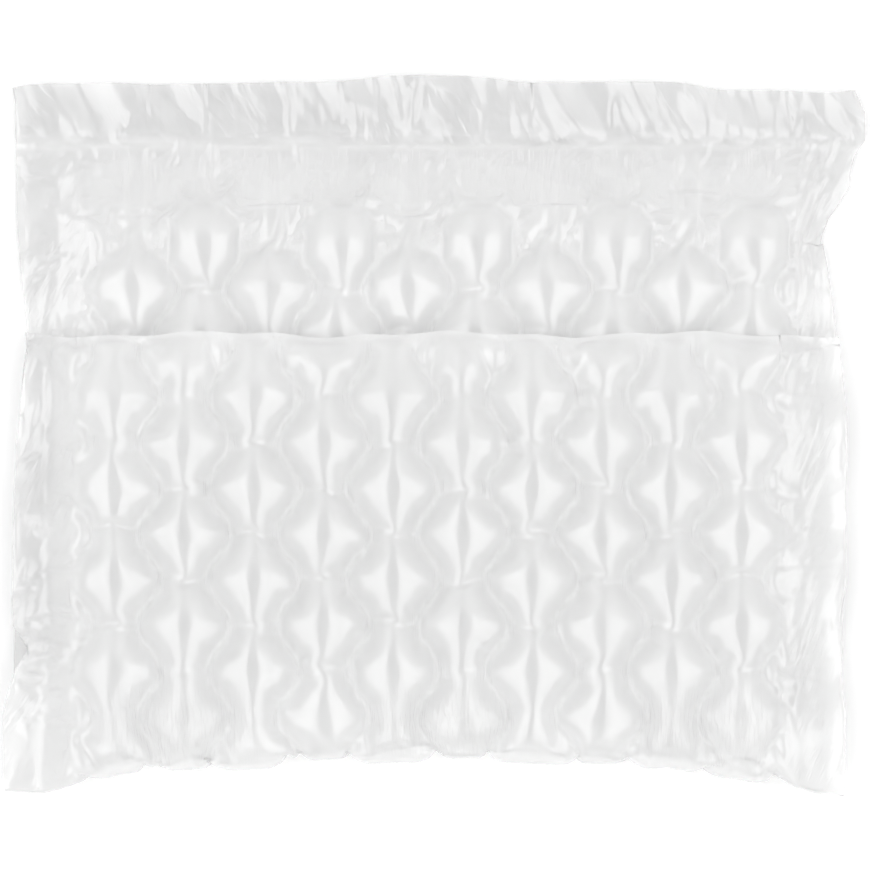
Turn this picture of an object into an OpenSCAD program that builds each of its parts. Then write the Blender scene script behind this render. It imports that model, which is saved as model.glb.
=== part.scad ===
// Air cushion film: one length of inflated quilted film, folded once.
// The web starts at the cut edge of the upper panel, runs down to the fold,
// turns under and comes back as the lower panel, and ends in a plain flap.
// X runs across the chains of bubbles, Y along them, Z up from the table.

/* [Chains] */
// Number of chains of bubbles across the web
chains = 10; // [4:1:10]
// Distance between the middles of two neighbouring chains
chain_pitch = 24.1; // [20:0.1:28]
// Distance between two bubbles of one chain
bubble_pitch = 31.6; // [26:0.1:36]
// Thickness of a bubble from skin to skin
bubble_t = 14; // [8:0.5:18]
// Thickness of the neck that joins two bubbles
neck_t = 8.2; // [5:0.1:10]
// Sideways swing of the seal between two chains
seal_swing = 4; // [0:0.1:5]
// Thickness of the two plies where they are sealed flat
seal_t = 0.8; // [0.6:0.1:1.5]

/* [Web] */
// Bubble pitches from the first to the last bubble of a full chain
full_pitches = 10; // [6:1:12]
// Distance from the cut edge to the first bubble
cut_margin = 5.9; // [4:0.1:10]
// Length of the upper panel from its cut edge to the start of the fold
upper_len = 133.5; // [100:0.5:160]
// Distance from the last bubble to the long seal at the foot of the flap
valve_len = 33.7; // [24:0.1:45]
// Width of an inlet valve
valve_w = 9; // [4:0.5:14]
// Height of an inlet valve above the sealed plies
valve_rise = 1.1; // [0.4:0.1:2]
// Length of the plain flap beyond the long seal
flap_len = 19.5; // [12:0.5:30]

/* [Side bands] */
// Width of the flat band beside the first chain
left_band = 27.6; // [22:0.1:34]
// Width of the flat band beside the last chain
right_band = 32.5; // [28:0.1:38]
// Most that the bands draw in along their outer edges
band_waver = 15.4; // [0:0.1:17]
// Width of the crimped strip at the outer edge of each band
crimp_w = 9; // [5:0.5:12]
// Thickness of the crimped strip
crimp_t = 1.2; // [0.8:0.1:2]

/* [Lie of the film] */
// Gap between the two panels where their bubbles meet
panel_gap = 0.6; // [0.3:0.1:2]
// How far the bubbles press flat on the table
table_press = 0.5; // [0.2:0.1:1]
// Thickness of the chains inside the fold
fold_t = 5.5; // [3:0.1:7]
// How far the fold reaches down in its middle
fold_sink = 6.5; // [0:0.5:8]
// How far the fold sinks from its middle to the sides of the quilted part
fold_bow = 8.5; // [0:0.5:12]
// How much further the flat bands reach down at the fold
band_drop = 6.5; // [0:0.5:10]
// How far the lower panel leans to the right at the flap
fold_skew = 7.5; // [0:0.5:8]
// How far the cut edge of the upper panel wanders
cut_wander = 1.2; // [0:0.1:2]
// How far the upper panel sinks at its cut edge
cut_drop = 3.5; // [0:0.1:5]
// Height of the gathers in the flap
gather_h = 1; // [0:0.1:3]
// Distance between two gathers in the flap
gather_pitch = 33; // [24:1:60]
// Height of the waves along the side bands
band_wave_h = 2; // [0:0.1:2.5]
// Distance between two waves along a side band
band_wave_pitch = 52; // [36:1:80]
// Height of the upper panel's side edges above the table
upper_edge_z = 11; // [8:0.5:14]
// Height of the lower panel's side edges above the table
lower_edge_z = 2.6; // [2.5:0.1:4]
// Height of the flap's free edge above the table
flap_edge_z = 2.2; // [1:0.1:6]
// How far the flap's free edge wanders in and out
flap_waver = 5; // [0:0.5:8]

/* [Hidden] */

// Cells across one chain, along one pitch, and across or along the plain film
CHAIN_CELLS = 4;
PITCH_CELLS = 4;
BAND_CELLS = 3;
VALVE_CELLS = 2;
FLAP_CELLS = 5;

// Proportions of the bubbles and of the lie of the film
BULGE_POWER = 0.9;
START_REACH = 0.57;
DROP_REACH = 0.65;
CRIMP_SHARE = 0.6;
FOLD_REACH = 0.65;
FOLD_NOSE = 0.75;
HIDDEN_SHARE = 0.75;
DROP_FROM = 0.72;
DROP_OVER = 0.6;
BAND_STEP = 3;
LEFT_SINK = 1.7;
CUT_WAVES = 3.4;
GATHER_LEAN = 0.8;
GATHER_BEAT = 3.3;
GATHER_RISE = 1.5;
RIGHT_PHASE = 140;

bubble_h = bubble_t / 2;
seal_h = seal_t / 2;
crimp_h = crimp_t / 2;
neck_share = (neck_t - seal_t) / (bubble_t - seal_t);
fold_r = bubble_h + panel_gap / 2;
fold_len = PI * fold_r;
lower_z = bubble_h - table_press;
upper_z = lower_z + 2 * fold_r;
row_step = bubble_pitch / PITCH_CELLS;
start_len = START_REACH * bubble_pitch;
drop_len = DROP_REACH * bubble_pitch;

// Distances along the web from the cut edge
fold_start = upper_len;
fold_end = upper_len + fold_len;
last_bubble = cut_margin + full_pitches * bubble_pitch;
long_seal = last_bubble + valve_len;
web_end = long_seal + flap_len;
lower_len = web_end - fold_end;
hidden_end = mix(fold_end, last_bubble, HIDDEN_SHARE);

// The fold lies at Y = 0 here, and the finished piece is centred at the end
quilt_w = chains * chain_pitch;
left_edge = -quilt_w / 2 - left_band;
right_edge = quilt_w / 2 + right_band;

// Share of band_waver at shares of the way from the fold to the flap's edge
LEFT_WAVER = [
    [0, 0], [0.035, 0.14], [0.07, 0.29], [0.1, 0.52], [0.12, 0.56], [0.15, 0.22], [0.19, 0.2],
    [0.43, 0.29], [0.58, 0.56], [0.7, 0.36], [0.82, 0.25], [1, 0.23]
];
RIGHT_WAVER = [
    [0, 0.5], [0.1, 0.6], [0.18, 0.6], [0.22, 0.48], [0.48, 0.46], [0.62, 0.66], [0.7, 0.82],
    [0.77, 1], [0.8, 0.9], [0.86, 0.32], [0.89, 0.34], [0.925, 0], [0.97, 0], [1, 0.3]
];
// Share of flap_waver at shares of the way from the left edge to the right
TOP_WAVER = [
    [0, -0.3], [0.03, 0.58], [0.17, 0.24], [0.4, 0.45], [0.45, 0.9], [0.51, 1.08], [0.6, 0.38],
    [0.79, 0.44], [0.82, -0.1], [0.97, -0.2], [1, -1.1]
];

function smooth(x) = let (s = max(0, min(1, x))) s * s * (3 - 2 * s);
function mix(a, b, s) = a + (b - a) * s;

// Every second chain starts and ends half a pitch further in, with a valve
function short_chain(c) = c % 2 == 0;
function chain_end(c) = short_chain(c) ? last_bubble - bubble_pitch / 2 : last_bubble;
function valve_zone(c, t) = short_chain(c) && t >= last_bubble && t < long_seal + seal_t;

// Where a row lies in the pattern of bubbles, in pitches from the first one
function pattern(t) = (t - cut_margin) / bubble_pitch;
// Share of a pitch that a row lies past the last bubble of chain c
function past_bubble(c, t) =
    let (p = pattern(t) + (short_chain(c) ? 0.5 : 0))
    p - floor(p);
// 1 along the chains, fading out past their last bubbles
function in_chain(t) = smooth(2 - (t - last_bubble) / (bubble_pitch / 2));

// The fold sinks towards the sides, so it starts and ends later on the web there
function bow(x, s) =
    fold_sink + fold_bow * min(1, pow(2 * x / quilt_w, 2)) + band_drop * smooth(BAND_STEP * s);
function turn(b, t) = 180 * max(0, min(1, (t - fold_start - b) / fold_len));
// 1 in the middle of the fold, fading out to both sides of it
function in_fold(b, t) =
    smooth(1 - abs(t - fold_start - b - fold_len / 2) / (FOLD_REACH * fold_len));

// Share of a bubble's thickness along chain c, with necks between the bubbles
function bulge(c, t) =
    mix(neck_share, 1, pow(max(0, cos(180 * past_bubble(c, t))), BULGE_POWER));
function back_bulge(c, t) =
    mix(neck_share, 1, pow(max(0, -cos(180 * past_bubble(c, t))), BULGE_POWER));
function swell(c, t) =
    t <= cut_margin && short_chain(c) ? neck_share : max(bulge(c, t), back_bulge(c, t));

// The seals across both ends of a chain
function start_seal(t) = sqrt(max(0, min(1, t / start_len)));
function end_seal(c, t) = sqrt(max(0, 1 - pow((t - chain_end(c)) / (bubble_pitch / 2), 2)));
function end_seals(c, t) = t > chain_end(c) ? end_seal(c, t) : start_seal(t);
function chain_h(c, t) = (bubble_h - seal_h) * swell(c, t) * end_seals(c, t);

// Half the film's thickness, where u runs from -1 to 1 across chain c
function chain_x(c, u) = (c + 0.5 + u / 2) * chain_pitch - quilt_w / 2;
function valve_shape(u) = max(0, 1 - pow(u * chain_pitch / valve_w, 2));
function film_h(c, u, t) =
    seal_h
    + mix(chain_h(c, t), (fold_t - seal_t) / 2, in_fold(bow(chain_x(c, u), 0), t)) * (1 - u * u)
    + (valve_zone(c, t) ? valve_rise * valve_shape(u) : 0);

// Shares of the way from the fold to the two free ends of the web
function panel_share(t) = max(0, fold_start - t, t - fold_end) / lower_len;
function skew_x(t) = t > fold_end ? fold_skew * panel_share(t) : 0;

// Seal k lies left of chain k and swings with the bubbles on both sides
function swing(k, t) = (k % 2 == 0 ? 1 : -1) * seal_swing * cos(360 * pattern(t)) * in_chain(t);
function seal_x(k, t) = -quilt_w / 2 + k * chain_pitch + swing(k, t) + skew_x(t);
function left_x(t) = left_edge + band_waver * lookup(panel_share(t), LEFT_WAVER);
function right_x(t) = right_edge - band_waver * lookup(panel_share(t), RIGHT_WAVER);

// Stations across the web: [x, half thickness, share of the way to the edge].
// A band is crimped at its outer edge and bends once between crimp and seal.
function crimp_start(w) = 1 - min(crimp_w / w, CRIMP_SHARE);
function band(edge_x, side_x) =
    let (k = crimp_start(abs(edge_x - side_x)))
    [
        [edge_x, crimp_h, 1],
        [mix(side_x, edge_x, k), crimp_h, 1],
        [mix(side_x, edge_x, k / 2), seal_h, 0.5]
    ];
function backwards(list) = [for (i = [len(list) - 1 : -1 : 0]) list[i]];

// The two inner stations of a chain close up to the valve beyond its last bubble
function inner_step(c, t) = valve_zone(c, t) ? valve_w / 2 / chain_pitch : 1 / CHAIN_CELLS;
function chain_stations(c, t) = [
    for (q = [0 : CHAIN_CELLS - 1])
        let (s = q == 0 ? 0 : 0.5 + (q - CHAIN_CELLS / 2) * inner_step(c, t))
        [mix(seal_x(c, t), seal_x(c + 1, t), s), film_h(c, 2 * s - 1, t), 0]
];
function stations(t) = concat(
    band(left_x(t), seal_x(0, t)),
    [for (c = [0 : chains - 1]) each chain_stations(c, t)],
    [[seal_x(chains, t), seal_h, 0]],
    backwards(band(right_x(t), seal_x(chains, t)))
);

// Rows along the web, twice as many in the fold
function near_fold(t) =
    t > fold_start + fold_sink - row_step && t < fold_end + fold_sink + fold_bow + row_step;
valve_start = last_bubble + bubble_pitch / 2;
ROWS = concat(
    [0, cut_margin / 2],
    [
        for (n = [0 : (full_pitches + 0.5) * PITCH_CELLS])
            let (t = cut_margin + n * row_step)
            each near_fold(t) ? [t, t + row_step / 2] : [t]
    ],
    [for (n = [1 : VALVE_CELLS]) mix(valve_start, long_seal, n / VALVE_CELLS)],
    [for (n = [1 : FLAP_CELLS]) mix(long_seal, web_end, n / FLAP_CELLS)]
);

// Heights of the two panels: both sink towards their side edges and wave there
function band_wave(x, y) =
    band_wave_h * sin(360 * y / band_wave_pitch + (x < 0 ? 0 : RIGHT_PHASE));
function band_sink(s, x) = smooth(x < 0 ? LEFT_SINK * s : s);
function upper_mid(s, x, y) =
    mix(upper_z, upper_edge_z, band_sink(s, x)) + band_wave(x, y) * s;
function lower_mid(s, x, y) =
    mix(lower_z, lower_edge_z, band_sink(s, x)) + band_wave(x, y) * s;

// The film lies down beyond the bubbles, and the flap has slanting gathers
function gather(x, past) =
    gather_h * smooth(GATHER_RISE * past / flap_len)
    * sin(360 * (x + past * GATHER_LEAN) / gather_pitch)
    * cos(360 * x / (gather_pitch * GATHER_BEAT));
function flap_drop(s, past) =
    (flap_edge_z - lower_z) * (1 - smooth(s)) * smooth((past / valve_len + DROP_FROM) / DROP_OVER);

// The cut edge wanders and sinks, and the flap's edge wanders
function top_wander(x, t) =
    flap_waver * lookup((x - left_edge) / (right_edge - left_edge), TOP_WAVER)
    * max(0, t - long_seal) / flap_len;
function cut_edge(x, t) =
    cut_wander * sin(360 * x / (CUT_WAVES * chain_pitch)) * max(0, 1 - t / cut_margin);
function cut_sag(s, t) = cut_drop * smooth(1 - t / drop_len) * (1 - smooth(s));

// A point of the web's middle surface and the direction out of the upper skin.
// The hidden part of the lower panel is drawn out as far as the fold sinks.
function laid_y(b, t) =
    t < fold_start + b ? fold_start - t
    : t < fold_end + b ? -b
    : t < hidden_end ? mix(-b, hidden_end - fold_end, (t - fold_end - b) / (hidden_end - fold_end - b))
    : t - fold_end;
function middle(x, s, t) =
    let (
        b = bow(x, s),
        y = laid_y(b, t) + cut_edge(x, t) + top_wander(x, t),
        up = upper_mid(s, x, y),
        low = lower_mid(s, x, y),
        r = (up - low) / 2,
        a = turn(b, t),
        past = t - long_seal
    )
    t < fold_start + b ? [x, y, up - cut_sag(s, t)]
    : t <= fold_end + b ? [x, y - FOLD_NOSE * r * sin(a), low + r + r * cos(a)]
    : [x, y, low + flap_drop(s, past) + gather(x, past)];
function outward(a) = [0, -sin(a), cos(a)];

// The flap and the bands rest on the table, and the bubbles are cut by it
function rest_h(w, t) = t > long_seal || w[2] > 0 ? w[1] : 0;
function on_table(p, h) = [p.x, p.y, max(p.z, h)];
function skin(side) = [
    for (t = ROWS)
        for (w = stations(t))
            on_table(middle(w[0], w[2], t), rest_h(w, t))
            + side * w[1] * outward(turn(bow(w[0], w[2]), t))
];

NX = chains * CHAIN_CELLS + 1 + 2 * BAND_CELLS;
NY = len(ROWS);
SKIN = NX * NY;
POINTS = concat(skin(1), skin(-1));

// The diagonal of each cell runs towards the middle of the nearest bubble
function slants(i, j) =
    let (
        s = i - BAND_CELLS,
        c = floor(s / CHAIN_CELLS),
        right = s - c * CHAIN_CELLS >= CHAIN_CELLS / 2,
        leaving = past_bubble(c, (ROWS[j] + ROWS[j + 1]) / 2) < 0.5
    )
    right == leaving;
function quad(a, b, c, d, slant) = slant ? [[a, b, c], [a, c, d]] : [[a, b, d], [b, c, d]];
function skin_cell(i, j) =
    let (a = i + j * NX, b = a + 1, c = b + NX, d = a + NX, slant = slants(i, j))
    concat(
        quad(a, b, c, d, slant),
        quad(SKIN + b, SKIN + a, SKIN + d, SKIN + c, !slant)
    );
function rim_cell(a, b) = quad(b, a, SKIN + a, SKIN + b, true);
FACES = [
    for (j = [0 : NY - 2])
        for (i = [0 : NX - 2])
            each skin_cell(i, j),
    for (i = [0 : NX - 2])
        let (far = i + (NY - 1) * NX)
        each concat(rim_cell(i, i + 1), rim_cell(far + 1, far)),
    for (j = [0 : NY - 2])
        let (near = j * NX, far = near + NX - 1)
        each concat(rim_cell(near + NX, near), rim_cell(far, far + NX))
];

// The origin is the middle of the footprint, on the table
x_mid = (min([for (p = POINTS) p.x]) + max([for (p = POINTS) p.x])) / 2;
y_mid = (min([for (p = POINTS) p.y]) + max([for (p = POINTS) p.y])) / 2;
table_side = 2 * (right_edge - left_edge + web_end);

module above_table() {
    translate([-table_side / 2, -table_side / 2, 0])
        cube(table_side);
}

module quilt_film() {
    color([0.93, 0.94, 0.95])
        intersection() {
            translate([-x_mid, -y_mid, 0])
                polyhedron(points = POINTS, faces = FACES, convexity = 10);
            above_table();
        }
}

quilt_film();
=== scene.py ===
"""Air cushion film: one length of quilted film, blown up, folded once and laid flat.

The film is worked out as it is made: two flat plies are sealed along wavy lines, laid round
the fold, blown up and left to settle, and then the plain film is creased. Lengths are in
millimetres until the mesh is made. A point of the film is known by t, how far it is from the
cut edge along the film, by x, where it lies across the filled film, and on a side band by its
share of the way from the quilt to the film's edge.
"""

import math

import bpy
import numpy as np
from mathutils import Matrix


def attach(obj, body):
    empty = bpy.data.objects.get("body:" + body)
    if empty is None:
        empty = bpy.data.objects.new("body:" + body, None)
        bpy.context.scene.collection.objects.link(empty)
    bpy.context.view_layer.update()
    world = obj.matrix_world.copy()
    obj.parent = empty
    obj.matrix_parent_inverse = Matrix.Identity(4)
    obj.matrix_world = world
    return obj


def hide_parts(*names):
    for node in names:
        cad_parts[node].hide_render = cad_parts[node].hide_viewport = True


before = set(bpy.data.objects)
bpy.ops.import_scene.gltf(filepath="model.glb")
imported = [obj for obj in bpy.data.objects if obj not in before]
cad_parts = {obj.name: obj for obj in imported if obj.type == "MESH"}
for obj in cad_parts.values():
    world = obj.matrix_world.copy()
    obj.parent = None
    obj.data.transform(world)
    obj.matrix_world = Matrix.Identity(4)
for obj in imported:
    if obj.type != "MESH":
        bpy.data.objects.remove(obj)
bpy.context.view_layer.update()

REAL = np.float32
MM = 0.001

# The quilt: chains of bubbles side by side, neighbours half a pitch apart
CHAINS = 10
CHAIN_PITCH = 24.1
BUBBLE_PITCH = 31.6
QUILT_W = CHAINS * CHAIN_PITCH
CUT_MARGIN = 5.9
LAST_BUBBLE = CUT_MARGIN + 10 * BUBBLE_PITCH
VALVE_LEN, VALVE_W = 33.7, 9
LONG_SEAL = LAST_BUBBLE + VALVE_LEN
FLAP_LEN = 19.5
WEB_END = LONG_SEAL + FLAP_LEN

# The seals: the swing and width of the wavy ones, the strip that shuts the cut edge, and how
# far past its last bubble's middle, in bubble pitches, a chain is shut, in a round end
SEAL_SWING, SEAL_W, CUT_SEAL = 4.0, 1.2, 1.6
CHAIN_SHUT, SHUT_ROUND, VALVE_AIR = 0.46, 5, 0.15

# The fold and how the two panels lie
FOLD_START = 133.5
FOLD_R = 7.3
FOLD_LEN = math.pi * FOLD_R
FOLD_END = FOLD_START + FOLD_LEN
HIDDEN_END = 280
LOWER_Z, UPPER_Z = 6.5, 21.1
LOWER_EDGE_Z, UPPER_EDGE_Z, FLAP_EDGE_Z = 2.6, 11, 2.2
FOLD_SINK, FOLD_BOW, BAND_DROP, FOLD_SKEW = 6.5, 8.5, 6.5, 7.5
LIE_FLAT, LEFT_SINK, SEAM_DRAW = 0.012, 1.7, 0.45

# The cut edge: how far it sinks and within what reach, and the waves in which it wavers, each
# with its size, its span and its shift
CUT_DROP, CUT_REACH = 4.5, 7
CUT_WAVER, CUT_WAVER_REACH = [(0.9, 13, 1), (0.5, 4.7, 0)], 6

# The flap: how its edge wavers, where it drops to the table, and its slanting gathers
FLAP_WAVER, FLAP_DROP_FROM, FLAP_DROP_OVER = 5, 0.9, 0.88
GATHER_H, GATHER_PITCH, GATHER_SLANT, GATHER_SPAN = 1, 33, 0.8, 109

# The plain bands beside the quilt, their waves, and how far their edges are drawn in: pairs
# of the share of the way from the fold to the flap's edge, and the share of BAND_WAVER
LEFT_BAND, RIGHT_BAND, BAND_WAVER = 27.6, 32.5, 15.4
BAND_WAVE, WAVE_PITCH, WAVE_SHIFT = 2, 52, 2.44
LEFT_EDGE = -QUILT_W / 2 - LEFT_BAND
RIGHT_EDGE = QUILT_W / 2 + RIGHT_BAND
LEFT_WAVER = [
    (0, 0), (0.035, 0.14), (0.07, 0.29), (0.1, 0.52), (0.12, 0.56), (0.15, 0.22), (0.19, 0.2),
    (0.43, 0.29), (0.58, 0.56), (0.7, 0.36), (0.82, 0.25), (1, 0.23),
]
RIGHT_WAVER = [
    (0, 0.5), (0.1, 0.6), (0.18, 0.6), (0.22, 0.48), (0.48, 0.46), (0.62, 0.66), (0.7, 0.82),
    (0.77, 1), (0.8, 0.9), (0.86, 0.32), (0.89, 0.34), (0.925, 0), (0.97, 0), (1, 0.3),
]
TOP_WAVER = [
    (0, -0.3), (0.03, 0.58), (0.17, 0.24), (0.4, 0.45), (0.45, 0.9), (0.51, 1.08), (0.6, 0.38),
    (0.79, 0.44), (0.82, -0.1), (0.97, -0.2), (1, -1.1),
]

# The film before it was blown up: so many times as long as the filled film. Along the film
# the slack fades out past the bubbles, between these distances from the cut edge
SLACK_ACROSS, SLACK_ALONG, FLAP_SLACK, BAND_SLACK = 1.16, 1.07, 1.03, 0.96
SLACK_UNTIL = [0, LAST_BUBBLE + 5, LAST_BUBBLE + 16, WEB_END]
SLACK_THERE = [1, SLACK_ALONG, 1 + (SLACK_ALONG - 1) / 2, 1]

# The film can't rise above a roof: a gap over the middle surface on the plain film, so much
# higher over the bubbles, and a little higher on the flap
ROOF_GAP, ROOF_FREE, ROOF_FLAP = 0.9, 12, 0.8

# How finely the film is worked out, coarse first: cell, steps, push of the air, weight. Then
# what each step keeps of its speed, how firmly seals are held, and the film's stiffness
LEVELS = [(4.4, 250, 0.02, 0.0002), (2.2, 200, 0.008, 0.0001), (1.1, 200, 0.0022, 0.00005)]
KEEP_SPEED, HOLD, STIFFNESS, SHEAR = 0.97, 0.2, 0.02, 0.4
SETTLE_ROUNDS, SETTLE_ALL, SETTLE_SHARE = 36, 6, 0.4

# Kinds of crease: angle and its spread in degrees, length, the widths of the steep and the
# gentle side, and height
FLAP_CREASE = -60, 40, 8, 1.3, 3, 0.8
VALVE_CREASE = 90, 24, 7, 1.4, 2.4, 0.5
RIGHT_CREASE = 64, 9, 8, 1.5, 2.8, 0.9
LEFT_CREASE = 15, 30, 9, 1.5, 9, 1.3
LEFT_STROKE = 75, 12, 8, 1.3, 3, 0.8
CORNER_STROKE = 4, 12, 9, 1.4, 2.6, 0.9

# Kinds of plates between sharp folds: angle, width and height
FLAP_PLATES = -52, 9, 0.85
EDGE_PLATES = 30, 8, 0.6
PLATE_TURNS = -24, 2, 21

# The ridges along a valve's welds: how far from its middle, half their width and their height
VALVE_RIDGE = 3.2, 1.9, 0.42

# Streaks of the finest wrinkles: angle, length and width
QUILT_STREAK = 90, 7, 0.9
VALVE_STREAK = 90, 14, 1.4
BAND_STREAK = 62, 9, 2
FLAP_STREAK = -50, 8, 3

# The mesh: the gap between the plies at a seal, and cells this many times as wide where the
# film is hidden
SEAL_GAP = 0.12
COARSE = 3

# The film's look, the finest wrinkles' depth, and the most that the film's grey share, with its
# painted light and shade, may reach
FILM_GREY, FILM_IOR, FILM_ALPHA = 0.975, 2.4, 0.45
FILM_ROUGHNESS = 0.08, 0.14
WRINKLE_DEPTH = 0.09
MOST_GREY_AND_PAINTED_LIGHT = 1.02

# The light: an even room, and overhead a dark strip between two soft boxes. The pairs are
# ranges of x / z and y / z in which the strip turns into a box and the boxes end
BOX_NEAR, BOX_FAR, BOX_FRONT, BOX_BACK = (0.2, 0.3), (1.35, 1.5), (-1.1, -0.95), (0.27, 0.36)
ROOM_LIGHT, BOX_LIGHT, STRIP_DARK = 0.83, 1.2, 0.62

# The camera looks straight down, in metres
CAMERA_HEIGHT, VIEW_WIDTH, SENSOR_MM = 1.4, 0.3054, 36


def smooth(x):
    s = np.clip(x, 0, 1)
    return s * s * (3 - 2 * s)


def rise(x, start, over):
    """0 up to the start, 1 from so far past it, and smooth between."""
    return smooth((x - start) / over)


def lookup(table, x):
    """The value of a table of pairs at x, straight between the pairs."""
    a = np.array(table)
    return np.interp(x, a[:, 0], a[:, 1])


def panel_share(t):
    """Share of the way from the fold to the flap's edge, on either panel."""
    return np.maximum(0, np.maximum(FOLD_START - t, t - FOLD_END)) / (WEB_END - FOLD_END)


def skew_x(t):
    """How far the lower panel lies to the right."""
    return np.where(t > FOLD_END, FOLD_SKEW * panel_share(t), 0)


def left_x(t):
    return LEFT_EDGE + BAND_WAVER * lookup(LEFT_WAVER, panel_share(t))


def right_x(t):
    return RIGHT_EDGE - BAND_WAVER * lookup(RIGHT_WAVER, panel_share(t))


def seal_x(k, t):
    """Where the wavy seal left of chain k runs, at distance t from the cut edge."""
    side = 1 if k % 2 == 0 else -1
    fade = smooth(1 - (t - LAST_BUBBLE - BUBBLE_PITCH / 2) / (BUBBLE_PITCH / 2))
    wave = np.cos(2 * np.pi * (t - CUT_MARGIN) / BUBBLE_PITCH)
    return -QUILT_W / 2 + k * CHAIN_PITCH + side * SEAL_SWING * wave * fade + skew_x(t)


def length(D):
    return np.sqrt((D**2).sum(axis=0))


class Web:
    """The two plies as grids of points. Axis 0 of P is x, y, z, then ply, row and column."""

    def __init__(self, cell):
        quilt_u = QUILT_W * SLACK_ACROSS
        u_left, u_right = -quilt_u / 2 - LEFT_BAND, quilt_u / 2 + RIGHT_BAND
        self.nu = int(round((u_right - u_left) / cell / 6)) * 6 + 1
        self.u = np.linspace(u_left, u_right, self.nu)
        self.du = self.u[1] - self.u[0]
        marks_v = np.cumsum(np.diff(SLACK_UNTIL, prepend=0) * SLACK_THERE)
        self.nv = int(round(marks_v[-1] / cell / 6)) * 6 + 1
        self.v = np.linspace(0, marks_v[-1], self.nv)
        self.dv = self.v[1] - self.v[0]
        self.t_row = np.interp(self.v, marks_v, SLACK_UNTIL)
        self.t = self.t_row[:, None] + 0 * self.u[None, :]
        self.x = np.zeros_like(self.t)
        self.share = np.zeros_like(self.t)
        quilt = np.abs(self.u) <= quilt_u / 2
        self.x[:, quilt] = self.u[None, quilt] / SLACK_ACROSS + skew_x(self.t[:, quilt])
        left, right = -quilt_u / 2 - self.u, self.u - quilt_u / 2
        self.lay_band(left > 0, left / LEFT_BAND, -QUILT_W / 2, left_x)
        self.lay_band(right > 0, right / RIGHT_BAND, QUILT_W / 2, right_x)
        self.mark_seals()

    def lay_band(self, columns, share, seam, edge_x):
        """Space the columns of a side band evenly from the quilt's side to the film's edge."""
        t, share = self.t[:, columns], share[None, columns]
        side = seam + skew_x(t)
        self.x[:, columns] = side + (edge_x(t) - side) * share
        self.share[:, columns] = share

    def mark_seals(self):
        """Mark where the plies are welded, and where air gets between them."""
        x, t = self.x, self.t
        w = max(SEAL_W, 1.01 * self.du)
        self.wave = np.zeros(x.shape, bool)
        for k in range(CHAINS + 1):
            self.wave |= (np.abs(x - seal_x(k, t)) < w / 2) & (t < LONG_SEAL)
        rel = x + QUILT_W / 2 - skew_x(t)
        c = np.floor(rel / CHAIN_PITCH)
        inside = (rel > 0) & (rel < QUILT_W)
        short = c % 2 == 0
        middle = np.where(short, LAST_BUBBLE - BUBBLE_PITCH / 2, LAST_BUBBLE)
        end = middle + CHAIN_SHUT * BUBBLE_PITCH
        off = (rel / CHAIN_PITCH - c - 0.5) * 2
        past = t > end - SHUT_ROUND * off**2
        valve = short & (np.abs(off) * CHAIN_PITCH < VALVE_W) & (t > end - 4) & (t < LONG_SEAL)
        self.cut = t < CUT_SEAL
        self.seal = self.wave | past & ~valve | self.cut
        self.air = (inside & (t < end + 3) & (t > 1)).astype(REAL)
        self.air[valve & (t > end)] = VALVE_AIR

    def fold(self):
        """Lay the flat web along its folded path: its middle surface and the way out of it."""
        x, t, s = self.x, self.t, self.share
        bow = FOLD_SINK + FOLD_BOW * np.minimum(1, (2 * (x - skew_x(t)) / QUILT_W) ** 2)
        bow = bow + BAND_DROP * smooth(3 * s)
        t_fold = FOLD_START + bow
        t_out = t_fold + FOLD_LEN
        self.turn = (t_fold + t_out) / 2
        self.upper = t < t_fold - 2
        self.lower = t > t_out + 2
        y = self.run(bow, t_fold, t_out)
        up, low = self.panel_heights(y)
        r = (up - low) / 2
        a = np.pi * np.clip((t - t_fold) / FOLD_LEN, 0, 1)
        past = t - LONG_SEAL
        drop = smooth((past / VALVE_LEN + FLAP_DROP_FROM) / FLAP_DROP_OVER)
        z = low + r + r * np.cos(a) + (FLAP_EDGE_Z - low) * drop
        gather = np.sin(2 * np.pi * (x + GATHER_SLANT * past) / GATHER_PITCH)
        gather = gather * np.cos(2 * np.pi * x / GATHER_SPAN)
        z += GATHER_H * smooth(1.5 * past / FLAP_LEN) * gather
        waver = sum(size * np.sin(x / span + shift) for size, span, shift in CUT_WAVER)
        y += np.maximum(0, 1 - t / CUT_WAVER_REACH) * waver
        sink = 0.75 + 0.25 * np.sin(x / 17 + 2)
        z -= CUT_DROP * smooth(1 - t / CUT_REACH) * sink * (1 - smooth(s))
        r = r * (1 - SEAM_DRAW * self.wave * np.sin(a) ** 2)
        self.parting = (low + r).astype(REAL)
        return np.stack([x, y - r * np.sin(a), z]), np.stack([0 * a, -np.sin(a), np.cos(a)])

    def run(self, bow, t_fold, t_out):
        """How far back each point lies, the fold's bulge apart."""
        t = self.t
        lie = (HIDDEN_END - FOLD_END + bow) / (HIDDEN_END - t_out)
        beyond = np.where(t < t_out, -bow, -bow + (t - t_out) * lie)
        y = np.where(t < t_fold, FOLD_START - t, beyond)
        y = np.where(t > HIDDEN_END, t - FOLD_END, y)
        across = (self.x - LEFT_EDGE) / (RIGHT_EDGE - LEFT_EDGE)
        y += FLAP_WAVER * lookup(TOP_WAVER, across) * np.maximum(0, t - LONG_SEAL) / FLAP_LEN
        return y

    def panel_heights(self, y):
        """Heights of the upper and the lower panel's middle surfaces, which droop at the bands."""
        s, left = self.share, self.x < 0
        wave = BAND_WAVE * s * np.sin(2 * np.pi * y / WAVE_PITCH + np.where(left, 0, WAVE_SHIFT))
        sink = smooth(s * np.where(left, LEFT_SINK, 1))
        up = UPPER_Z + (UPPER_EDGE_Z - UPPER_Z) * sink + wave
        low = LOWER_Z + (LOWER_EDGE_Z - LOWER_Z) * sink + wave
        return up, low

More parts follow.
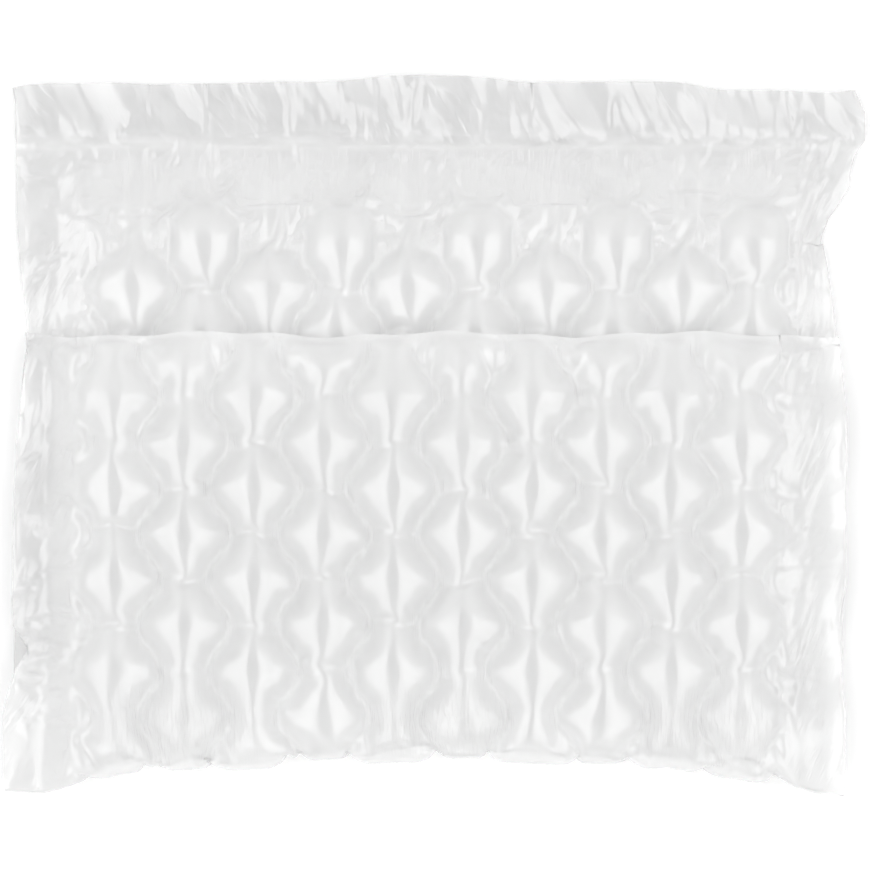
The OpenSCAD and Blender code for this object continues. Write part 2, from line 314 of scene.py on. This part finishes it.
    def start(self):
        """Both plies flat together along the fold, a little uneven where they are loose."""
        mid, n = self.fold()
        rough = np.random.default_rng(1).normal(0, 1, mid.shape[1:])
        self.P = np.stack([mid + 0.1 * n, mid - 0.1 * n], axis=1).astype(REAL)
        self.prepare()
        self.P += (rough * (0.15 + 0.8 * self.loose) * n)[:, None].astype(REAL)

    def prepare(self):
        """Work out what stays the same from step to step."""
        mid, n = self.fold()
        self.goal = mid.astype(REAL)
        self.n = n.astype(REAL)
        self.Q = self.P.copy()
        self.cut_threads(mid)
        past_last = self.t - LAST_BUBBLE
        self.roof = (mid[2] + ROOF_GAP + ROOF_FREE * (1 - smooth(past_last / 26))).astype(REAL)
        self.roof += (ROOF_FLAP * rise(self.t, LONG_SEAL, 8)).astype(REAL)
        self.loose = smooth(self.share * 4) + smooth(past_last / 20)
        self.line = np.abs(self.t - LONG_SEAL) < max(1.2, 0.6 * self.dv)
        plain = rise(past_last, 2, 22) * (self.air < 0.5)
        self.lie = (LIE_FLAT * np.maximum(smooth(self.share * 2.5), plain)).astype(REAL)

    def cut_threads(self, mid):
        """The lengths of the threads of film between neighbouring points."""
        laid = length(mid[:, 1:] - mid[:, :-1]) * SLACK_ALONG
        laid = np.where(self.lower[1:], laid, 0)
        slack = 1 - (1 - BAND_SLACK) * smooth(3 * self.share[1:])
        self.len_v = (np.maximum(self.dv, np.minimum(laid, 1.3 * self.dv)) * slack).astype(REAL)
        plain = rise(self.t, LAST_BUBBLE, 18) + 0.8 * smooth(1 - self.t / 8)
        inside = (np.abs(self.u) < QUILT_W * SLACK_ACROSS / 2)[None, :]
        wide = length(mid[:, :, 1:] - mid[:, :, :-1]) * 1.03
        quilt = self.du * (1 - plain * (1 - FLAP_SLACK / SLACK_ACROSS))[:, 1:]
        self.len_u = np.where(inside[:, 1:] & inside[:, :-1], quilt, wide).astype(REAL)
        lv, lu = self.len_v, self.len_u
        self.len_d = np.sqrt(lu[:-1] ** 2 + (0.5 * (lv[:, 1:] + lv[:, :-1])) ** 2).astype(REAL)

    def pull(self, a, b, thread, strength=0.5):
        """Move the ends of many threads so that each thread has its own length again."""
        D = b - a
        c = D[0] * D[0] + D[1] * D[1] + D[2] * D[2]
        np.sqrt(c, out=c)
        c = REAL(strength) * (1 - thread / (c + REAL(1e-9)))
        D *= c
        a += D
        b -= D

    def sweep(self):
        """Pull on all threads once: along the film, across it, and on both diagonals."""
        P = self.P
        nv, nu = P.shape[2], P.shape[3]
        for s in (0, 1):
            m = s + 2 * ((nv - s) // 2)
            self.pull(P[:, :, s:m:2], P[:, :, s + 1 : m : 2], self.len_v[s:m:2])
        for s in (0, 1):
            m = s + 2 * ((nu - s) // 2)
            self.pull(P[:, :, :, s:m:2], P[:, :, :, s + 1 : m : 2], self.len_u[:, s:m:2])
        for sv in (0, 1):
            mv = sv + 2 * ((nv - sv) // 2)
            row, next_row = P[:, :, sv:mv:2], P[:, :, sv + 1 : mv : 2]
            for su in (0, 1):
                mu = su + 2 * ((nu - su) // 2)
                here, there = slice(su, mu, 2), slice(su + 1, mu, 2)
                ld = self.len_d[sv:mv:2, su:mu:2]
                self.pull(row[..., here], next_row[..., there], ld, 0.5 * SHEAR)
                self.pull(row[..., there], next_row[..., here], ld, 0.5 * SHEAR)

    def blow(self, push):
        """Push both plies outwards where there is air between them."""
        P = self.P
        gu = P[:, :, 1:-1, 2:] - P[:, :, 1:-1, :-2]
        gv = P[:, :, 2:, 1:-1] - P[:, :, :-2, 1:-1]
        out = np.stack([
            gv[1] * gu[2] - gv[2] * gu[1],
            gv[2] * gu[0] - gv[0] * gu[2],
            gv[0] * gu[1] - gv[1] * gu[0],
        ])
        out /= np.sqrt(out[0] ** 2 + out[1] ** 2 + out[2] ** 2) + REAL(1e-9)
        out[:, 1] *= -1
        P[:, :, 1:-1, 1:-1] += out * (self.air[1:-1, 1:-1] * REAL(push))

    def join(self, hold):
        """Weld the plies at the seals, and hold the seals and the side edges in place."""
        P, s = self.P, self.seal
        m = (P[:, 0][:, s] + P[:, 1][:, s]) * REAL(0.5)
        P[:, 0][:, s] = m
        P[:, 1][:, s] = m
        for w, axes in ((self.wave, (0, 1)), (self.line, (0, 1, 2)), (self.cut, (1, 2))):
            for ax in axes:
                for ply in (0, 1):
                    G = P[ax, ply]
                    G[w] += REAL(hold) * (self.goal[ax][w] - G[w])
        for ply in (0, 1):
            for col in (0, -1):
                G = P[0, ply, :, col]
                G += REAL(0.1) * (self.goal[0, :, col] - G)

    def part(self, gap=0.02, table=0.06, apart=0.1):
        """Keep the plies apart, above the table, and on their own side of the other panel."""
        P, n = self.P, self.n
        D = P[:, 0] - P[:, 1]
        over = REAL(gap) - (D[1] * n[1] + D[2] * n[2])
        np.maximum(over, 0, out=over)
        over *= REAL(0.5) * ~self.seal
        for ax in (1, 2):
            P[ax, 0] += over * n[ax]
            P[ax, 1] -= over * n[ax]
        z = P[2]
        z += self.lie * (self.goal[2] - z)
        np.maximum(z, REAL(table), out=z)
        np.minimum(z, self.roof, out=z)
        up, low = self.upper, self.lower
        for ply in (0, 1):
            Z = z[ply]
            Z[up] = np.maximum(Z[up], self.parting[up] + REAL(apart))
            Z[low] = np.minimum(Z[low], self.parting[low] - REAL(apart))

    def stiffen(self, k):
        """Even out the bends of both plies, by a share k for each point or for all."""
        P = self.P
        a = (P[:, :, 2:, 1:-1] + P[:, :, :-2, 1:-1] + P[:, :, 1:-1, 2:] + P[:, :, 1:-1, :-2])
        a = a * REAL(0.25) - P[:, :, 1:-1, 1:-1]
        b = (a[:, :, 2:, 1:-1] + a[:, :, :-2, 1:-1] + a[:, :, 1:-1, 2:] + a[:, :, 1:-1, :-2])
        b = b * REAL(0.25) - a[:, :, 1:-1, 1:-1]
        P[:, :, 2:-2, 2:-2] -= np.asarray(k, REAL) * b

    def step(self, push, weight):
        """Let the film move on a little under air and weight."""
        P = self.P
        D = P - self.Q
        self.Q[...] = P
        D *= REAL(KEEP_SPEED)
        P += D
        P[2] -= REAL(weight)
        self.blow(push)
        self.sweep()
        self.join(HOLD)
        self.part()
        self.stiffen(STIFFNESS)

    def finer(self, cell, seed):
        """The same film on a finer grid."""
        f = Web(cell)
        cu = np.linspace(0, self.nu - 1, f.nu)
        cv = np.linspace(0, self.nv - 1, f.nv)
        iu = np.clip(cu.astype(int), 0, self.nu - 2)
        iv = np.clip(cv.astype(int), 0, self.nv - 2)
        fu = (cu - iu).astype(REAL)
        fv = (cv - iv).astype(REAL)[:, None]
        R = self.P[:, :, iv] * (1 - fv) + self.P[:, :, iv + 1] * fv
        R = R[..., iu] * (1 - fu) + R[..., iu + 1] * fu
        f.P = R.astype(REAL)
        f.prepare()
        rough = np.random.default_rng(seed).normal(0, 1, R.shape[2:]) * (0.02 + 0.25 * f.loose)
        f.P += (rough * f.n)[:, None].astype(REAL)
        f.Q = f.P.copy()
        return f

    def settle(self):
        """Smooth the last roughness of the grid away, most of all where the film is taut."""
        gap = np.min([np.abs(self.x - seal_x(k, self.t)) for k in range(CHAINS + 1)], axis=0)
        bent = smooth(1.5 - np.abs(self.t - self.turn) / 14) * smooth(4 * self.share)
        taut = np.maximum(self.air * smooth((gap - 1) / 3), bent)[2:-2, 2:-2]
        for i in range(SETTLE_ROUNDS):
            self.stiffen(SETTLE_SHARE if i < SETTLE_ALL else SETTLE_SHARE * taut)
            self.join(0)


def blow_up(levels):
    """The settled film, worked out on ever finer grids."""
    web = None
    for i, (cell, steps, push, weight) in enumerate(levels):
        if web is None:
            web = Web(cell)
            web.start()
        else:
            web = web.finer(cell, 10 + i)
        for _ in range(steps):
            web.step(push, weight)
    web.settle()
    return web


def mottle(web, size, seed):
    """Soft blotches from 0 to 1 over the flat film, each about `size` wide."""
    u, v = (web.u - web.u[0]) / size, (web.v - web.v[0]) / size
    grid = np.random.default_rng(seed).uniform(0, 1, (int(v[-1]) + 2, int(u[-1]) + 2))
    iu, iv = u.astype(int), v.astype(int)
    fu, fv = smooth(u - iu), smooth(v - iv)[:, None]
    rows = grid[iv] * (1 - fv) + grid[iv + 1] * fv
    return rows[:, iu] * (1 - fu) + rows[:, iu + 1] * fu


def crease(web, kind, count, area, seed, way=1):
    """Sharp creases strewn over an area of the flat film, each steep on one side."""
    angle, spread, reach, steep, gentle, height = kind
    rng = np.random.default_rng(seed)
    u, v = np.meshgrid(web.u, web.v)
    u0, u1, t0, t1 = area
    v0, v1 = np.interp([t0, t1], web.t_row, web.v)
    h = np.zeros_like(u)
    for _ in range(count):
        a = math.radians(rng.normal(angle * way, spread))
        du, dv = u - rng.uniform(u0, u1), v - rng.uniform(v0, v1)
        along = du * math.cos(a) + dv * math.sin(a)
        over = (dv * math.cos(a) - du * math.sin(a)) * rng.choice([-1, 1])
        side = np.where(over > 0, over / steep, -over / gentle)
        end = np.abs(along) / (reach * rng.uniform(0.5, 1.5))
        taper = np.clip(1.6 - 1.6 * end, 0, 1)
        h += height * rng.uniform(0.4, 1) * np.clip(1 - side, 0, 1) * taper
    return h


def plates(web, kind, seed, way=1):
    """Flat plates between sharp folds, as in film that was crushed and laid out again."""
    angle, width, height = kind
    rng = np.random.default_rng(seed)
    u, v = np.meshgrid(web.u, web.v)
    h = np.zeros_like(u)
    for turn in PLATE_TURNS:
        a = math.radians(angle * way + turn)
        w = width * rng.uniform(0.7, 1.5)
        over = (v * math.cos(a) - u * math.sin(a)) / w + 3 * mottle(web, 45, rng.integers(1000))
        h += height * w / width * np.abs(over % 2 - 1)
    return h


def valve_edges(web):
    """A pair of long straight ridges along both edges of each inlet valve."""
    x, t = web.x - skew_x(web.t), web.t
    off, half, height = VALVE_RIDGE
    h = np.zeros_like(x)
    for c in range(0, CHAINS, 2):
        middle = (c + 0.5) * CHAIN_PITCH - QUILT_W / 2
        for side in (-1, 1):
            h += np.clip(1 - np.abs(x - middle - side * (off + 0.5 * math.sin(5 * c))) / half, 0, 1)
    return height * h * rise(t, LAST_BUBBLE - 4, 8) * smooth((LONG_SEAL - 1 - t) / 5)


def add_creases(web):
    """The plain film's creases, which leave the blown-up part alone."""
    t, s = web.t, web.share
    left, right = web.u[0], web.u[-1]
    flap = rise(t, LONG_SEAL + 0.5, 4)
    valve = rise(t, LAST_BUBBLE + 12, 8) * (1 - flap)
    band = rise(s, 0.12, 0.25) * (1 - flap)
    edge = rise(web.u, right - 20, 8)
    h = flap * plates(web, FLAP_PLATES, 1)
    h += flap * crease(web, FLAP_CREASE, 26, (left, right, LONG_SEAL, WEB_END), 2)
    h += valve * crease(web, VALVE_CREASE, 60, (left, right, LAST_BUBBLE + 10, LONG_SEAL), 3)
    h += valve_edges(web)
    upper, lower = ((0, FOLD_START), 4, -1), ((HIDDEN_END, LONG_SEAL), 6, 1)
    for ends, seed, way in (upper, lower):
        n = (ends[1] - ends[0]) / FOLD_START
        panel = (t - web.turn) * way > 0
        inner = (right - 34, right - 12, *ends)
        h += band * crease(web, RIGHT_CREASE, int(80 * n), inner, seed, way)
        h += band * edge * plates(web, EDGE_PLATES, seed + 20, way) * panel
        h += band * crease(web, LEFT_CREASE, int(24 * n), (left, left + 28, *ends), seed + 1, way)
        inner = (left + 4, left + 26, *ends)
        h += band * crease(web, LEFT_STROKE, int(30 * n), inner, seed + 21, way)
    corner = (left, left + 24, FOLD_START - 42, FOLD_START - 6)
    h += band * crease(web, CORNER_STROKE, 26, corner, 9)
    h *= rise(np.abs(t - web.turn), FOLD_LEN / 2, 10)
    for ply in (0, 1):
        web.P[2, ply] += (h * ((t > web.turn) == ply)).astype(REAL)


def normals(G):
    """The way out of one ply at each of its points."""
    gu = np.gradient(G, axis=2)
    gv = np.gradient(G, axis=1)
    n = np.cross(gv, gu, axis=0)
    return n / (np.linalg.norm(n, axis=0) + 1e-9)


def fine_rows(web):
    """For each ply, which bands of COARSE rows show from above."""
    t = web.t_row[::COARSE]
    t = (t[1:] + t[:-1]) / 2
    return [t < FOLD_END + 24, t > HIDDEN_END - 4]


def ply_cells(ply, web, fine):
    """Faces of one ply: small cells where it shows, and cells COARSE times as wide elsewhere."""
    nu, nv = web.nu, web.nv
    base = ply * nu * nv
    faces = []

    def at(i, j):
        return base + j * nu + i

    for b in range((nv - 1) // COARSE):
        j0 = b * COARSE
        if fine[b]:
            for j in range(j0, j0 + COARSE):
                for i in range(nu - 1):
                    faces.append((at(i, j), at(i, j + 1), at(i + 1, j + 1), at(i + 1, j)))
            continue
        j1 = j0 + COARSE
        low_fine = j0 == 0 or fine[b - 1]
        high_fine = j1 == nv - 1 or fine[b + 1]
        for i0 in range(0, nu - 1, COARSE):
            i1 = i0 + COARSE
            left = range(j0, j1) if i0 == 0 else [j0]
            top = range(i0, i1) if high_fine else [i0]
            right = range(j1, j0, -1) if i1 == nu - 1 else [j1]
            bottom = range(i1, i0, -1) if low_fine else [i1]
            ring = [at(i0, j) for j in left] + [at(i, j1) for i in top]
            ring += [at(i1, j) for j in right] + [at(i, j0) for i in bottom]
            faces.append(tuple(ring))
    if ply == 1:
        faces = [f[::-1] for f in faces]
    return faces


def rim_cells(web):
    """Faces that close the film along its four edges."""
    nu, nv = web.nu, web.nv
    other = nu * nv
    faces = []
    for i in range(nu - 1):
        a, b = i, i + 1
        faces.append((a, b, other + b, other + a))
        a, b = (nv - 1) * nu + i, (nv - 1) * nu + i + 1
        faces.append((b, a, other + a, other + b))
    for j in range(nv - 1):
        a, b = j * nu, (j + 1) * nu
        faces.append((b, a, other + a, other + b))
        a, b = j * nu + nu - 1, (j + 1) * nu + nu - 1
        faces.append((a, b, other + b, other + a))
    return faces


def turned(u, v, angle, along, over):
    """Flat coordinates turned by an angle and counted in streak lengths and widths."""
    a = np.radians(angle)
    x = (u * np.cos(a) + v * np.sin(a)) / along
    return np.stack([x, (v * np.cos(a) - u * np.sin(a)) / over])


def zones(web):
    """How far each point lies in the quilt, in the valve zone, on a side band and on the flap."""
    t = web.t
    inside = smooth((QUILT_W / 2 - np.abs(web.x - skew_x(t))) / 6)
    quilt = smooth((LAST_BUBBLE + 10 - t) / 6) * inside
    valve = rise(t, LAST_BUBBLE + 10, 9) * smooth((LONG_SEAL - t) / 1.5) * inside
    band = smooth(web.share * 3) * smooth((LONG_SEAL - t) / 2)
    band = band * rise(np.abs(t - web.turn), 4, 8)
    return quilt, valve, band, rise(t, LONG_SEAL + 0.3, 2)


def welds(web):
    """How near each point is to a wavy seal, and how much the film puckers at the necks."""
    phase = (web.t - CUT_MARGIN) / BUBBLE_PITCH
    waist = np.abs(2 * phase - np.round(2 * phase)) / 2
    near = sum(np.exp(-(((web.x - seal_x(k, web.t)) / 2.6) ** 2)) for k in range(CHAINS + 1))
    return near, np.clip(near * np.exp(-((waist / 0.13) ** 2)), 0, 1)


def wrinkle_grain(web, valve, band, flap):
    """The coordinates that the finest wrinkles follow, along them and across."""
    u, v = np.meshgrid(web.u, web.v)
    angle, *streak = BAND_STREAK
    slant = np.where(web.t < web.turn, -angle, angle)
    grain = turned(u, v, *QUILT_STREAK)
    grain = np.where(valve > 0, turned(u, v, *VALVE_STREAK), grain)
    grain = np.where(band > 0, turned(u, v, slant, *streak), grain)
    return np.where(flap > 0, turned(u, v, *FLAP_STREAK), grain)


def wrinkle_depth(web, quilt, valve, band, flap, pucker):
    """How deep the finest wrinkles are: at the necks, above the fold and in blotches elsewhere."""
    above_fold = np.exp(-(((web.t - FOLD_START - 2) / 12) ** 2))
    crumple = above_fold * smooth(0.5 + 0.9 * np.sin(web.x / 14.5 + 1.2))
    blotch = smooth(mottle(web, 17, 6) * 1.4) * smooth(mottle(web, 6, 7) * 1.6 - 0.2)
    plain = 1.3 * valve + 1.5 * band + 1.6 * flap
    return quilt * (2.2 * pucker + 1.7 * crumple) + blotch * plain


def film_grey_and_painted_light(web, quilt, valve, band, weld):
    """Share of the film's grey, with its painted light and shade: a lighter line along the long
    seal, painted light lifting the shade in the grooves along the wavy seals, painted shade on the
    single panel and on the flap, a painted dark reflection on a strip of the left band, random
    darker blotches on the bands and in the valve zone, and a painted highlight on the valve ridges.
    """
    t = web.t
    grey_and_painted_light = 1 + 0.045 * np.exp(-(((t - LONG_SEAL - 1.2) / 1.5) ** 2))
    # Painted shade: the single lower panel, past the hidden part, is made darker.
    grey_and_painted_light -= 0.08 * rise(t, HIDDEN_END + 16, 16)
    # Painted shade on the flap, in blotches, standing in for the dark overhead strip that the flat
    # flap reflects.
    grey_and_painted_light -= 0.07 * rise(t, LONG_SEAL, 8) * (0.2 + 1.6 * mottle(web, 9, 8))
    # Painted dark reflection on the outer strip of the upper panel's left band; random darker
    # blotches on both bands.
    strip = rise(web.share, 0.35, 0.2) * (web.x < 0) * smooth((FOLD_START - 10 - t) / 20)
    grey_and_painted_light -= 0.06 * band * mottle(web, 15, 9) + 0.14 * strip * mottle(web, 24, 10)
    # Painted light along the wavy seals, lifting the shade in the grooves between bubbles; random
    # darker patches in the valve zone.
    grey_and_painted_light += 0.035 * weld * quilt - 0.03 * valve * (mottle(web, 11, 11) > 0.5)
    # Painted highlight along the ridges of the valves.
    grey_and_painted_light += 0.09 * valve_edges(web)
    return np.minimum(grey_and_painted_light, MOST_GREY_AND_PAINTED_LIGHT)


def add_attributes(mesh, web, used):
    """Give the mesh what its material reads: wrinkle depth, the grey share with its painted light
    and shade, and wrinkle coordinates.
    """
    quilt, valve, band, flap = zones(web)
    weld, pucker = welds(web)
    depth = wrinkle_depth(web, quilt, valve, band, flap, pucker)
    grey_and_painted_light = film_grey_and_painted_light(web, quilt, valve, band, weld)
    for name, value in (("wrinkle", depth), ("grey_and_painted_light", grey_and_painted_light)):
        both = np.concatenate([value.ravel(), value.ravel()])[used]
        mesh.attributes.new(name, "FLOAT", "POINT").data.foreach_set("value", both.astype(REAL))
    along, over = wrinkle_grain(web, valve, band, flap)
    flat = np.stack([along.ravel(), over.ravel(), 0 * depth.ravel()], axis=1)
    flat = np.concatenate([flat, flat + [31, 17, 0]])[used].astype(REAL).ravel()
    mesh.attributes.new("grain", "FLOAT_VECTOR", "POINT").data.foreach_set("vector", flat)


def sharpen_rim(mesh, web, used):
    """Keep the film's outer edges sharp."""
    border = np.ones((2, web.nv, web.nu), bool)
    border[:, 1:-1, 1:-1] = False
    ends = np.zeros(2 * len(mesh.edges), int)
    mesh.edges.foreach_get("vertices", ends)
    sharp = border.ravel()[used][ends].reshape(-1, 2).all(axis=1)
    mesh.attributes.new("sharp_edge", "BOOLEAN", "EDGE").data.foreach_set("value", sharp)


def film_mesh(web):
    """The closed mesh of both plies and the rim, in metres, over the middle of its footprint."""
    P = web.P.astype(float)
    for ply, way in ((0, 1), (1, -1)):
        P[:, ply] += way * SEAL_GAP / 2 * normals(web.P[:, ply].astype(float))
    P[2] = np.maximum(P[2], 0.02)
    low, high = P.min(axis=(1, 2, 3)), P.max(axis=(1, 2, 3))
    P[0] -= (low[0] + high[0]) / 2
    P[1] -= (low[1] + high[1]) / 2
    points = P.reshape(3, -1).T * MM
    fine = fine_rows(web)
    faces = ply_cells(0, web, fine[0]) + ply_cells(1, web, fine[1]) + rim_cells(web)
    used = np.zeros(len(points), bool)
    used[np.fromiter((k for f in faces for k in f), int)] = True
    new = np.cumsum(used) - 1
    mesh = bpy.data.meshes.new("quilt_film")
    mesh.from_pydata(points[used].tolist(), [], [tuple(int(new[k]) for k in f) for f in faces])
    mesh.polygons.foreach_set("use_smooth", [True] * len(mesh.polygons))
    sharpen_rim(mesh, web, used)
    mesh.update()
    add_attributes(mesh, web, used)
    return mesh


def math_node(nodes, links, operation, a, b):
    n = nodes.new("ShaderNodeMath")
    n.operation = operation
    for socket, value in zip(n.inputs, (a, b)):
        if isinstance(value, (int, float)):
            socket.default_value = value
        else:
            links.new(value, socket)
    return n.outputs[0]


def map_range(nodes, links, value, low, high, to_low, to_high):
    n = nodes.new("ShaderNodeMapRange")
    links.new(value, n.inputs["Value"])
    for name, x in (("From Min", low), ("From Max", high), ("To Min", to_low), ("To Max", to_high)):
        n.inputs[name].default_value = x
    return n.outputs[0]


def film_material():
    """Clear, slightly milky film with a soft gloss and fine wrinkles, its grey carrying painted
    light and shade.
    """
    m = bpy.data.materials.new("clear_film")
    m.use_nodes = True
    nodes, links = m.node_tree.nodes, m.node_tree.links
    b = nodes["Principled BSDF"]
    b.inputs["IOR"].default_value = FILM_IOR
    b.inputs["Alpha"].default_value = FILM_ALPHA
    grain, depth, grey_and_painted_light = (nodes.new("ShaderNodeAttribute") for _ in range(3))
    grain.attribute_name, depth.attribute_name, grey_and_painted_light.attribute_name = "grain", "wrinkle", "grey_and_painted_light"
    # The base colour takes the painted light and shade of the grey share.
    grey = math_node(nodes, links, "MULTIPLY", grey_and_painted_light.outputs["Fac"], FILM_GREY)
    color = nodes.new("ShaderNodeCombineColor")
    for socket in color.inputs:
        links.new(grey, socket)
    links.new(color.outputs["Color"], b.inputs["Base Color"])
    noise = nodes.new("ShaderNodeTexNoise")
    noise.noise_dimensions = "2D"
    noise.inputs["Scale"].default_value = 1
    noise.inputs["Detail"].default_value = 1
    links.new(grain.outputs["Vector"], noise.inputs["Vector"])
    gloss = map_range(nodes, links, noise.outputs["Fac"], 0.3, 0.7, *FILM_ROUGHNESS)
    links.new(gloss, b.inputs["Roughness"])
    ridge = map_range(nodes, links, noise.outputs["Fac"], 0.48, 0.66, 0, 1)
    bump = nodes.new("ShaderNodeBump")
    bump.inputs["Strength"].default_value = 1
    bump.inputs["Distance"].default_value = WRINKLE_DEPTH * MM
    height = math_node(nodes, links, "MULTIPLY", ridge, depth.outputs["Fac"])
    links.new(height, bump.inputs["Height"])
    links.new(bump.outputs["Normal"], b.inputs["Normal"])
    return m


def floor_material():
    """A white floor that keeps the film's shadow, and looks white in reflections as well."""
    m = bpy.data.materials.new("white_floor")
    m.use_nodes = True
    nodes, links = m.node_tree.nodes, m.node_tree.links
    b = nodes["Principled BSDF"]
    b.inputs["Base Color"].default_value = (0.95, 0.95, 0.95, 1)
    b.inputs["Roughness"].default_value = 0.9
    b.inputs["Specular IOR Level"].default_value = 0
    ray = nodes.new("ShaderNodeLightPath").outputs
    seen = math_node(nodes, links, "ADD", ray["Is Camera Ray"], ray["Is Glossy Ray"])
    seen = math_node(nodes, links, "ADD", seen, ray["Is Transmission Ray"])
    b.inputs["Emission Color"].default_value = (1, 1, 1, 1)
    links.new(math_node(nodes, links, "MULTIPLY", seen, 0.1), b.inputs["Emission Strength"])
    return m


def make_floor():
    bpy.ops.mesh.primitive_plane_add(size=8, location=(0, 0, 0))
    floor = bpy.context.object
    floor.name = "floor"
    floor.data.materials.append(floor_material())


def make_lights():
    """A grey room with a dark strip overhead between two large soft boxes."""
    w = bpy.data.worlds.new("room")
    bpy.context.scene.world = w
    w.use_nodes = True
    w.cycles.sampling_method = "NONE"
    nodes, links = w.node_tree.nodes, w.node_tree.links
    way = nodes.new("ShaderNodeSeparateXYZ")
    links.new(nodes.new("ShaderNodeTexCoord").outputs["Generated"], way.inputs[0])
    x, y, z = way.outputs
    up = math_node(nodes, links, "MAXIMUM", z, 0.05)
    aside = math_node(nodes, links, "ABSOLUTE", x, 0)
    out = math_node(nodes, links, "DIVIDE", aside, up)
    along = math_node(nodes, links, "DIVIDE", y, up)
    front = map_range(nodes, links, along, *BOX_FRONT, 0, 1)
    back = map_range(nodes, links, along, *BOX_BACK, 1, 0)
    lit = map_range(nodes, links, out, *BOX_NEAR, -STRIP_DARK, BOX_LIGHT)
    for limit in (map_range(nodes, links, out, *BOX_FAR, 1, 0), front, back):
        lit = math_node(nodes, links, "MULTIPLY", lit, limit)
    light = math_node(nodes, links, "ADD", lit, ROOM_LIGHT)
    nodes["Background"].inputs["Color"].default_value = (1, 1, 1, 1)
    links.new(light, nodes["Background"].inputs["Strength"])


def make_camera():
    cam = bpy.data.cameras.new("camera")
    cam.sensor_width = SENSOR_MM
    cam.lens = SENSOR_MM * CAMERA_HEIGHT / VIEW_WIDTH
    o = bpy.data.objects.new("camera", cam)
    o.location = (0, 0, CAMERA_HEIGHT)
    bpy.context.collection.objects.link(o)
    bpy.context.scene.camera = o


def make_film():
    web = blow_up(LEVELS)
    add_creases(web)
    mesh = film_mesh(web)
    mesh.materials.append(film_material())
    film = bpy.data.objects.new("film", mesh)
    bpy.context.collection.objects.link(film)
    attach(film, "root")
    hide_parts("quilt_film")


make_film()
make_floor()
make_lights()
make_camera()

bpy.context.scene.view_settings.view_transform = "Standard"
bpy.context.scene.cycles.transparent_max_bounces = 10
bpy.context.scene.cycles.diffuse_bounces = 4
